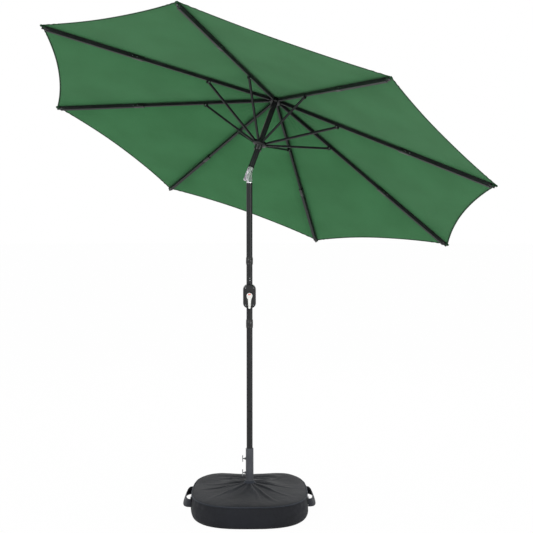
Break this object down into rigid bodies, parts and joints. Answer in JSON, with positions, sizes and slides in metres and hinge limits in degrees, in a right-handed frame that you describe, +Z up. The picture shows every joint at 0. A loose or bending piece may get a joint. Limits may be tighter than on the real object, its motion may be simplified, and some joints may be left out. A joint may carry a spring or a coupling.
{
  "type": "patio umbrella with base",
  "caption": "Crank-lift patio umbrella with a push-button tilting canopy of sewn panels, standing in a cross base under a squarish fabric ballast bag.",
  "frame": {"origin": "centre of the base on the floor", "axes": "+Z up along the pole, -Y the side the crank handle faces, -X the side of the sleeve's locking screws; the canopy leans over between +X and +Y"},
  "size_m": [2.3735, 2.3259, 2.6008],
  "materials": {
    "bag_cloth": "woven black cloth with a slate sheen",
    "webbing": "ribbed webbing",
    "sand": "loose sand",
    "black_steel": "semi-gloss powder coat",
    "charcoal_steel": "satin powder coat",
    "black_plastic": "moulded, satin",
    "white_plastic": "moulded, satin",
    "cast_aluminium": "polished casting",
    "zinc_steel": "zinc plated",
    "green_fabric": "woven, matt",
    "grey_cord": "braided"
  },
  "bodies": {
    "base": {"ballast_bag": "bag_cloth", "cross_base": "black_steel", "sand_ballast": "sand", "base_sleeve": "charcoal_steel", "left_handle": "webbing", "right_handle": "webbing", "pole_lower": "black_steel", "pole_middle": "black_steel", "pole_upper": "black_steel", "joint_collar": "black_plastic", "trim_ring": "black_plastic", "housing_front": "black_plastic", "housing_back": "black_plastic", "brake_spring": "zinc_steel", "tilt_socket": "cast_aluminium", "tilt_pin": "zinc_steel", "button_spring": "zinc_steel", "lift_cord_lower": "grey_cord"},
    "upper_tip": {"upper_screw_tip": "white_plastic"},
    "upper_screw": {"upper_screw": "zinc_steel"},
    "lower_tip": {"lower_screw_tip": "white_plastic"},
    "lower_screw": {"lower_screw": "zinc_steel"},
    "crank": {"crank_lever": "white_plastic", "crank_spool": "zinc_steel"},
    "knob": {"crank_knob": "white_plastic"},
    "button": {"tilt_button": "black_plastic"},
    "mast": {"tilt_fork": "cast_aluminium", "tilt_tube": "black_steel", "crown_hub": "black_plastic", "hub_ring": "zinc_steel", "finial": "black_plastic", "lift_cord_upper": "grey_cord", "lift_cord_drop": "grey_cord"},
    "pulley": {"crown_pulley": "zinc_steel"},
    "runner": {"runner": "black_plastic", "runner_ring": "zinc_steel"},
    "rib_1": {"rib_1": "black_steel"},
    "strut_1": {"strut_1": "black_steel"},
    "gore_1": {"gore_1": "green_fabric"},
    "rib_2": {"rib_2": "black_steel"},
    "strut_2": {"strut_2": "black_steel"},
    "gore_2": {"gore_2": "green_fabric"},
    "rib_3": {"rib_3": "black_steel"},
    "strut_3": {"strut_3": "black_steel"},
    "gore_3": {"gore_3": "green_fabric"},
    "rib_4": {"rib_4": "black_steel"},
    "strut_4": {"strut_4": "black_steel"},
    "gore_4": {"gore_4": "green_fabric"},
    "rib_5": {"rib_5": "black_steel"},
    "strut_5": {"strut_5": "black_steel"},
    "gore_5": {"gore_5": "green_fabric"},
    "rib_6": {"rib_6": "black_steel"},
    "strut_6": {"strut_6": "black_steel"},
    "gore_6": {"gore_6": "green_fabric"},
    "rib_7": {"rib_7": "black_steel"},
    "strut_7": {"strut_7": "black_steel"},
    "gore_7": {"gore_7": "green_fabric"},
    "rib_8": {"rib_8": "black_steel"},
    "strut_8": {"strut_8": "black_steel"},
    "gore_8": {"gore_8": "green_fabric"}
  },
  "joints": [
    {"name": "tilt", "type": "hinge", "parent": "base", "child": "mast", "pos_m": [0, 0, 1.87], "axis": [-0.723, 0.6909, 0], "range_deg": [-28, 0], "deforming": ["lift_cord_upper", "lift_cord_lower"]},
    {"name": "runner_slide", "type": "slide", "parent": "mast", "child": "runner", "axis": [-0.3243, -0.3394, -0.8829], "range_m": [0, 0.1], "deforming": ["lift_cord_drop"]},
    {"name": "crank_turn", "type": "hinge", "parent": "base", "child": "crank", "pos_m": [0, 0, 1.1985], "axis": [0, 1, 0], "range_deg": [0, 385]},
    {"name": "knob_spin", "type": "hinge", "parent": "crank", "child": "knob", "pos_m": [0, 0, 1.1365], "axis": [0, 1, 0], "continuous": true},
    {"name": "button_press", "type": "slide", "parent": "base", "child": "button", "axis": [-0.6909, -0.723, 0], "range_m": [0, 0.003], "stiffness_N_per_m": 400, "springref_m": -0.001, "deforming": ["button_spring"]},
    {"name": "upper_tip_slide", "type": "slide", "parent": "base", "child": "upper_tip", "axis": [-1, 0, 0], "range_m": [0, 0.00305]},
    {"name": "upper_screw_turn", "type": "hinge", "parent": "upper_tip", "child": "upper_screw", "pos_m": [-0.0385, 0, 0.296], "axis": [-1, 0, 0], "range_deg": [0, 1080]},
    {"name": "lower_tip_slide", "type": "slide", "parent": "base", "child": "lower_tip", "axis": [-1, 0, 0], "range_m": [0, 0.00305]},
    {"name": "lower_screw_turn", "type": "hinge", "parent": "lower_tip", "child": "lower_screw", "pos_m": [-0.0385, 0, 0.218], "axis": [-1, 0, 0], "range_deg": [0, 1080]},
    {"name": "pulley_spin", "type": "hinge", "parent": "mast", "child": "pulley", "pos_m": [0.12734, 0.13325, 2.22729], "axis": [0.723, -0.6909, 0], "range_deg": [0, 620]},
    {"name": "rib_1_fold", "type": "hinge", "parent": "mast", "child": "rib_1", "pos_m": [0.15122, 0.17154, 2.2525], "axis": [-0.9014, 0.394, 0.1797], "range_deg": [0, 9.7]},
    {"name": "strut_1_swing", "type": "hinge", "parent": "rib_1", "child": "strut_1", "pos_m": [0.22745, 0.45794, 2.00683], "axis": [-0.9014, 0.394, 0.1797], "range_deg": [-16, 0]},
    {"name": "gore_1_fold", "type": "hinge", "parent": "mast", "child": "gore_1", "pos_m": [0.14256, 0.17188, 2.25555], "axis": [-0.9426, 0.0372, 0.332], "range_deg": [0, 10.6]},
    {"name": "rib_2_fold", "type": "hinge", "parent": "mast", "child": "rib_2", "pos_m": [0.13391, 0.17222, 2.2586], "axis": [-0.8402, -0.3254, 0.4337], "range_deg": [0, 9.7]},
    {"name": "strut_2_swing", "type": "hinge", "parent": "rib_2", "child": "strut_2", "pos_m": [-0.05899, 0.46923, 2.10771], "axis": [-0.8402, -0.3254, 0.4337], "range_deg": [-16, 0]},
    {"name": "gore_2_fold", "type": "hinge", "parent": "mast", "child": "gore_2", "pos_m": [0.12831, 0.16636, 2.26291], "axis": [-0.61, -0.6383, 0.4695], "range_deg": [0, 10.6]},
    {"name": "rib_3_fold", "type": "hinge", "parent": "mast", "child": "rib_3", "pos_m": [0.1227, 0.16049, 2.26722], "axis": [-0.2869, -0.8541, 0.4337], "range_deg": [0, 9.7]},
    {"name": "strut_3_swing", "type": "hinge", "parent": "rib_3", "child": "strut_3", "pos_m": [-0.24437, 0.27524, 2.25038], "axis": [-0.2869, -0.8541, 0.4337], "range_deg": [-16, 0]},
    {"name": "gore_3_fold", "type": "hinge", "parent": "mast", "child": "gore_3", "pos_m": [0.12344, 0.15186, 2.27027], "axis": [0.0799, -0.9399, 0.332], "range_deg": [0, 10.6]},
    {"name": "rib_4_fold", "type": "hinge", "parent": "mast", "child": "rib_4", "pos_m": [0.12417, 0.14323, 2.27332], "axis": [0.4345, -0.8826, 0.1797], "range_deg": [0, 9.7]},
    {"name": "strut_4_swing", "type": "hinge", "parent": "rib_4", "child": "strut_4", "pos_m": [-0.22009, -0.01039, 2.35127], "axis": [0.4345, -0.8826, 0.1797], "range_deg": [-16, 0]},
    {"name": "gore_4_fold", "type": "hinge", "parent": "mast", "child": "gore_4", "pos_m": [0.13081, 0.13689, 2.27332], "axis": [0.723, -0.6909, 0], "range_deg": [0, 10.6]},
    {"name": "rib_5_fold", "type": "hinge", "parent": "mast", "child": "rib_5", "pos_m": [0.13745, 0.13054, 2.27332], "axis": [0.9014, -0.394, -0.1797], "range_deg": [0, 9.7]},
    {"name": "strut_5_swing", "type": "hinge", "parent": "rib_5", "child": "strut_5", "pos_m": [-0.00039, -0.22034, 2.35127], "axis": [0.9014, -0.394, -0.1797], "range_deg": [-16, 0]},
    {"name": "gore_5_fold", "type": "hinge", "parent": "mast", "child": "gore_5", "pos_m": [0.14611, 0.1302, 2.27027], "axis": [0.9426, -0.0372, -0.332], "range_deg": [0, 10.6]},
    {"name": "rib_6_fold", "type": "hinge", "parent": "mast", "child": "rib_6", "pos_m": [0.15476, 0.12986, 2.26722], "axis": [0.8402, 0.3254, -0.4337], "range_deg": [0, 9.7]},
    {"name": "strut_6_swing", "type": "hinge", "parent": "rib_6", "child": "strut_6", "pos_m": [0.28604, -0.23163, 2.25038], "axis": [0.8402, 0.3254, -0.4337], "range_deg": [-16, 0]},
    {"name": "gore_6_fold", "type": "hinge", "parent": "mast", "child": "gore_6", "pos_m": [0.16037, 0.13572, 2.26291], "axis": [0.61, 0.6383, -0.4695], "range_deg": [0, 10.6]},
    {"name": "rib_7_fold", "type": "hinge", "parent": "mast", "child": "rib_7", "pos_m": [0.16597, 0.14158, 2.2586], "axis": [0.2869, 0.8541, -0.4337], "range_deg": [0, 9.7]},
    {"name": "strut_7_swing", "type": "hinge", "parent": "rib_7", "child": "strut_7", "pos_m": [0.47142, -0.03764, 2.10771], "axis": [0.2869, 0.8541, -0.4337], "range_deg": [-16, 0]},
    {"name": "gore_7_fold", "type": "hinge", "parent": "mast", "child": "gore_7", "pos_m": [0.16523, 0.15021, 2.25555], "axis": [-0.0799, 0.9399, -0.332], "range_deg": [0, 10.6]},
    {"name": "rib_8_fold", "type": "hinge", "parent": "mast", "child": "rib_8", "pos_m": [0.1645, 0.15885, 2.2525], "axis": [-0.4345, 0.8826, -0.1797], "range_deg": [0, 9.7]},
    {"name": "strut_8_swing", "type": "hinge", "parent": "rib_8", "child": "strut_8", "pos_m": [0.44715, 0.24799, 2.00683], "axis": [-0.4345, 0.8826, -0.1797], "range_deg": [-16, 0]},
    {"name": "gore_8_fold", "type": "hinge", "parent": "mast", "child": "gore_8", "pos_m": [0.15786, 0.16519, 2.2525], "axis": [-0.723, 0.6909, 0], "range_deg": [0, 10.6]}
  ],
  "couplings": [
    {"joint": "crank_turn", "follows": "runner_slide", "rad_per_m": 66.7},
    {"joint": "upper_tip_slide", "follows": "upper_screw_turn", "m_per_rad": 0.000159},
    {"joint": "lower_tip_slide", "follows": "lower_screw_turn", "m_per_rad": 0.000159},
    {"joint": "pulley_spin", "follows": "runner_slide", "rad_per_m": 106.4},
    {"joint": "rib_1_fold", "follows": "runner_slide", "rad_per_m": 1.671},
    {"joint": "strut_1_swing", "follows": "runner_slide", "rad_per_m": -2.7653},
    {"joint": "gore_1_fold", "follows": "runner_slide", "rad_per_m": 1.782},
    {"joint": "rib_2_fold", "follows": "runner_slide", "rad_per_m": 1.671},
    {"joint": "strut_2_swing", "follows": "runner_slide", "rad_per_m": -2.7653},
    {"joint": "gore_2_fold", "follows": "runner_slide", "rad_per_m": 1.782},
    {"joint": "rib_3_fold", "follows": "runner_slide", "rad_per_m": 1.671},
    {"joint": "strut_3_swing", "follows": "runner_slide", "rad_per_m": -2.7653},
    {"joint": "gore_3_fold", "follows": "runner_slide", "rad_per_m": 1.782},
    {"joint": "rib_4_fold", "follows": "runner_slide", "rad_per_m": 1.671},
    {"joint": "strut_4_swing", "follows": "runner_slide", "rad_per_m": -2.7653},
    {"joint": "gore_4_fold", "follows": "runner_slide", "rad_per_m": 1.782},
    {"joint": "rib_5_fold", "follows": "runner_slide", "rad_per_m": 1.671},
    {"joint": "strut_5_swing", "follows": "runner_slide", "rad_per_m": -2.7653},
    {"joint": "gore_5_fold", "follows": "runner_slide", "rad_per_m": 1.782},
    {"joint": "rib_6_fold", "follows": "runner_slide", "rad_per_m": 1.671},
    {"joint": "strut_6_swing", "follows": "runner_slide", "rad_per_m": -2.7653},
    {"joint": "gore_6_fold", "follows": "runner_slide", "rad_per_m": 1.782},
    {"joint": "rib_7_fold", "follows": "runner_slide", "rad_per_m": 1.671},
    {"joint": "strut_7_swing", "follows": "runner_slide", "rad_per_m": -2.7653},
    {"joint": "gore_7_fold", "follows": "runner_slide", "rad_per_m": 1.782},
    {"joint": "rib_8_fold", "follows": "runner_slide", "rad_per_m": 1.671},
    {"joint": "strut_8_swing", "follows": "runner_slide", "rad_per_m": -2.7653},
    {"joint": "gore_8_fold", "follows": "runner_slide", "rad_per_m": 1.782}
  ]
}
